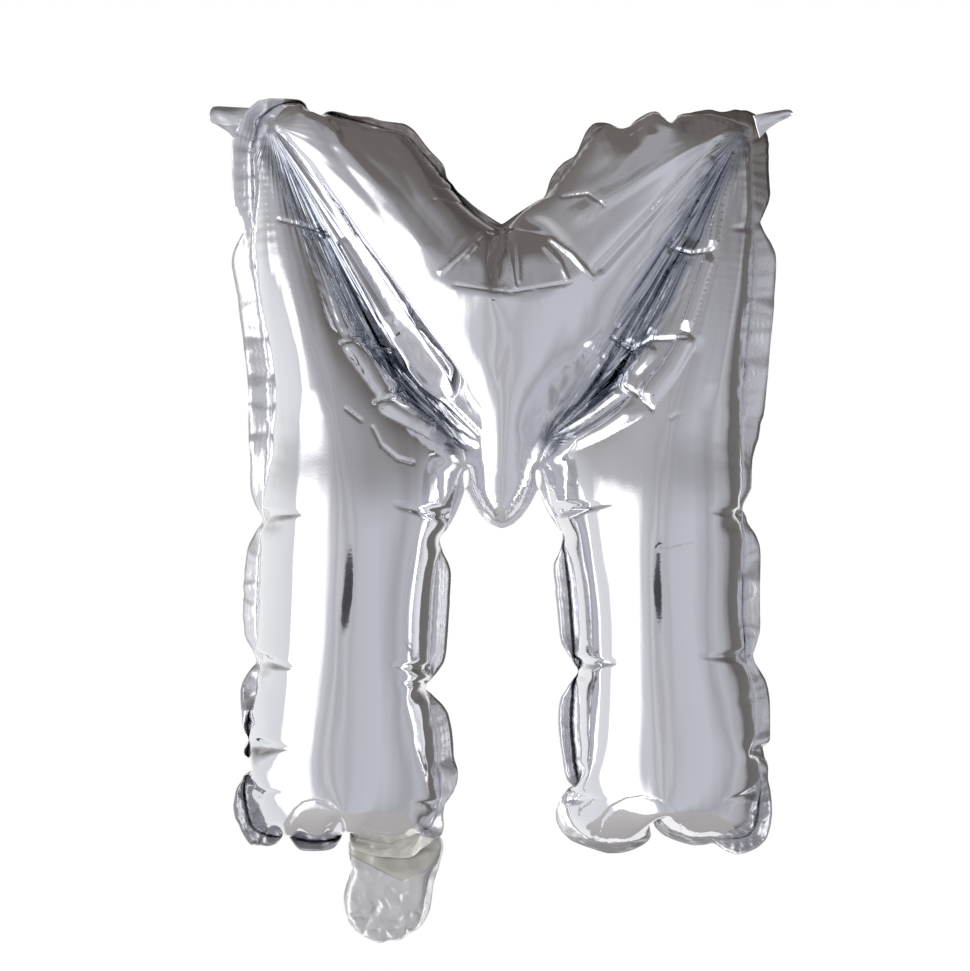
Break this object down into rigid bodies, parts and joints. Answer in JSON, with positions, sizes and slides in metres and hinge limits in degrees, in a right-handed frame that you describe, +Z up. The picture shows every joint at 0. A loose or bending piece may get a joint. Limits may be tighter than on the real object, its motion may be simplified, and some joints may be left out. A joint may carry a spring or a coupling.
{
  "type": "letter foil balloon",
  "caption": "Air-filled silver foil balloon in the shape of the letter M, with a welded border, side hanging tabs and a tail with the filling valve.",
  "frame": {"origin": "midway between the two hanging tabs, at their height and in the middle plane of the balloon", "axes": "+Z up as it hangs, +Y towards the back, +X to the reader's right; the letter's face looks along -Y"},
  "size_m": [0.264, 0.0778, 0.381],
  "materials": {
    "silver_foil": "mirror-bright metallised film, creased where it is drawn in",
    "welded_foil": "mirror-bright metallised film, crimped along the weld",
    "valve_film": "glossy milky film"
  },
  "bodies": {
    "envelope": {"front_panel": "silver_foil", "back_panel": "silver_foil", "seam_border": "welded_foil"},
    "tail": {"tail_valve_film": "valve_film", "tail_front_foil": "silver_foil", "tail_back_foil": "silver_foil"},
    "left_tab": {"left_hanging_tab": "welded_foil"},
    "right_tab": {"right_hanging_tab": "welded_foil"}
  },
  "joints": [
    {"name": "tail_fold", "type": "hinge", "parent": "envelope", "child": "tail", "pos_m": [-0.051, 0, -0.3305], "axis": [1, 0, 0], "range_deg": [-90, 90], "stiffness_Nm_per_rad": 0.0005},
    {"name": "left_tab_fold", "type": "hinge", "parent": "envelope", "child": "left_tab", "pos_m": [-0.1185, 0, 0], "axis": [0, 0, 1], "range_deg": [-90, 90], "stiffness_Nm_per_rad": 0.00001},
    {"name": "right_tab_fold", "type": "hinge", "parent": "envelope", "child": "right_tab", "pos_m": [0.1185, 0, 0], "axis": [0, 0, -1], "range_deg": [-90, 90], "stiffness_Nm_per_rad": 0.00001}
  ]
}
